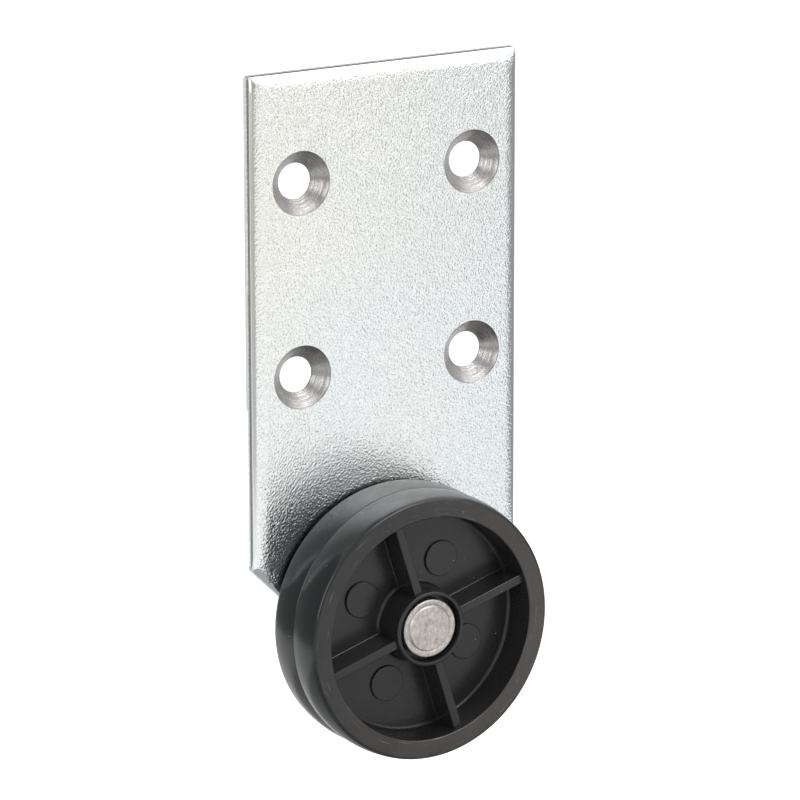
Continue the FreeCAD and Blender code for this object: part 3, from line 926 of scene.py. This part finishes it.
class ROLLER_OT_stage(bpy.types.Operator):
    """Sets up the pale floor, the soft lamps, the white surroundings and the camera"""
    bl_idname = "roller.stage"
    bl_label = "Stage"

    def execute(self, context):
        settings = context.scene.roller_stage
        self.lay_floor(settings)
        self.hang_lamps()
        self.stand_flags()
        self.paint_world(context.scene, settings)
        self.place_camera(context.scene, settings)
        context.scene.view_settings.view_transform = "Standard"
        return {"FINISHED"}

    def background_rays(self, add):
        """Masks of the rays that see the background: straight or through glass, and in reflections."""
        path = add("LightPath").outputs
        straight = add("Math", {"operation": "MAXIMUM"},
                       {0: path["Is Camera Ray"], 1: path["Is Transmission Ray"]})
        return straight, path["Is Glossy Ray"]

    def lay_floor(self, settings):
        """A matt floor that takes the shadow, with a glow that makes it nearly white in the picture."""
        material, add = new_material("pale_floor")
        straight, glossy = self.background_rays(add)
        paint = add("BsdfDiffuse", {"Color": rgba(settings.floor)})
        mirrored = add("Math", {"operation": "MULTIPLY", 1: settings.floor_mirrored}, {0: glossy})
        seen = add("Math", {"operation": "MULTIPLY_ADD", 1: settings.floor_seen},
                   {0: straight, 2: mirrored})
        glow = add("Emission", {"Color": WHITE}, {"Strength": seen})
        both = add("AddShader", links={0: paint, 1: glow})
        add("OutputMaterial", links={"Surface": both})
        clear_selection()
        height = WHEEL_LOW.z * MM - settings.floor_drop
        bpy.ops.mesh.primitive_plane_add(size=6, location=(0, 0, height))
        floor = bpy.context.object
        floor.name = "studio_floor"
        floor.data.materials.append(material)

    def hang_lamps(self):
        for name, azimuth, elevation, distance, size, radiance in LAMPS:
            clear_selection()
            place = self.direction(azimuth, elevation) * distance
            bpy.ops.object.light_add(type="AREA", location=place)
            lamp = bpy.context.object
            lamp.name = name
            lamp.data.shape = "RECTANGLE"
            lamp.data.size, lamp.data.size_y = size
            lamp.data.energy = radiance * math.pi * size[0] * size[1]
            lamp.rotation_euler = (-place).to_track_quat("-Z", "Y").to_euler()

    def direction(self, azimuth, elevation):
        """Unit vector to a place round the part: azimuth from the front towards +X, both in degrees."""
        side, up = math.radians(azimuth), math.radians(elevation)
        return Vector((math.cos(up) * math.sin(side), -math.cos(up) * math.cos(side), math.sin(up)))

    def stand_flags(self):
        """Grey cards outside the picture, which only reflections see: they draw the metal's edges."""
        for name, azimuth, half_width, low, high, distance, shade in FLAGS:
            bottom, top = (distance * math.tan(math.radians(edge)) for edge in (low, high))
            side = math.radians(azimuth)
            place = (distance * math.sin(side), -distance * math.cos(side), (bottom + top) / 2)
            width = 2 * distance * math.tan(math.radians(half_width))
            self.put_card(name, place, (math.radians(90), 0, side), (width, top - bottom), shade)
        # A grey card under the part that only reflections see: a painted shadow standing in for the floor's
        # shade beneath it.
        self.put_card("flag_below", place=(-0.02, -0.03, -0.12), turned=(0, 0, 0), size=(0.22, 0.2),
                      shade=0.45)

    def put_card(self, name, place, turned, size, shade):
        """One flat card of an even shade, with its place and size in metres."""
        material, add = new_material(name)
        felt = add("Emission", {"Color": WHITE, "Strength": shade})
        add("OutputMaterial", links={"Surface": felt})
        clear_selection()
        bpy.ops.mesh.primitive_plane_add(size=1, rotation=turned, location=place)
        bpy.context.object.scale = (*size, 1)
        card = name_new(name)
        card.data.materials.append(material)
        card.visible_camera = False
        card.visible_diffuse = False
        card.visible_shadow = False

    def paint_world(self, scene, settings):
        """White where the background is seen, and an even fill light from all round."""
        world = bpy.data.worlds.new("pale_surroundings")
        scene.world = world
        add = start_nodes(world)
        straight, glossy = self.background_rays(add)
        seen = add("Math", {"operation": "MAXIMUM"}, {0: straight, 1: glossy})
        fill = add("Background", {"Color": WHITE, "Strength": settings.world_fill})
        white = add("Background", {"Color": WHITE, "Strength": 1.0})
        mix = add("MixShader", links={0: seen, 1: fill, 2: white})
        add("OutputWorld", links={"Surface": mix})

    def place_camera(self, scene, settings):
        clear_selection()
        bpy.ops.object.camera_add()
        camera = bpy.context.object
        camera.name = "photo_camera"
        camera.data.lens = settings.lens
        camera.data.sensor_width = settings.sensor
        camera.data.clip_start = 0.01
        turned = (Matrix.Rotation(-settings.azimuth, 4, "Z")
                  @ Matrix.Rotation(math.radians(90) - settings.elevation, 4, "X")
                  @ Matrix.Rotation(settings.roll, 4, "Z"))
        camera.matrix_world = Matrix.Translation(settings.camera_place) @ turned
        scene.camera = camera


class ROLLER_PT_pieces(bpy.types.Panel):
    """Lists the roller's pieces, the stage and their settings"""
    bl_idname = "ROLLER_PT_pieces"
    bl_label = "Side-mount roller"
    bl_space_type = "VIEW_3D"
    bl_region_type = "UI"
    bl_category = "Roller"

    def draw(self, context):
        for operator, settings in STEPS:
            box = self.layout.box()
            box.operator(operator.bl_idname)
            self.list_settings(box, getattr(context.scene, settings))
        box = self.layout.box()
        box.label(text="Finishes")
        self.list_settings(box, context.scene.roller_finish)

    def list_settings(self, box, group):
        for name in group.bl_rna.properties.keys():
            if name not in ("rna_type", "name"):
                box.prop(group, name)


GROUPS = {
    "roller_plate": PlateSettings,
    "roller_rivet": RivetSettings,
    "roller_wheel": WheelSettings,
    "roller_finish": FinishSettings,
    "roller_stage": StageSettings,
}
STEPS = (
    (ROLLER_OT_mounting_plate, "roller_plate"),
    (ROLLER_OT_axle_rivet, "roller_rivet"),
    (ROLLER_OT_wheel, "roller_wheel"),
    (ROLLER_OT_stage, "roller_stage"),
)
CLASSES = (*GROUPS.values(), *(operator for operator, _ in STEPS), ROLLER_PT_pieces)


def register():
    for item in CLASSES:
        bpy.utils.register_class(item)
    for name, group in GROUPS.items():
        setattr(bpy.types.Scene, name, PointerProperty(type=group))


def unregister():
    for name in GROUPS:
        delattr(bpy.types.Scene, name)
    for item in reversed(CLASSES):
        bpy.utils.unregister_class(item)


def main():
    register()
    bpy.ops.roller.mounting_plate()
    bpy.ops.roller.axle_rivet()
    bpy.ops.roller.wheel()
    bpy.ops.roller.stage()


if __name__ == "__main__":
    main()
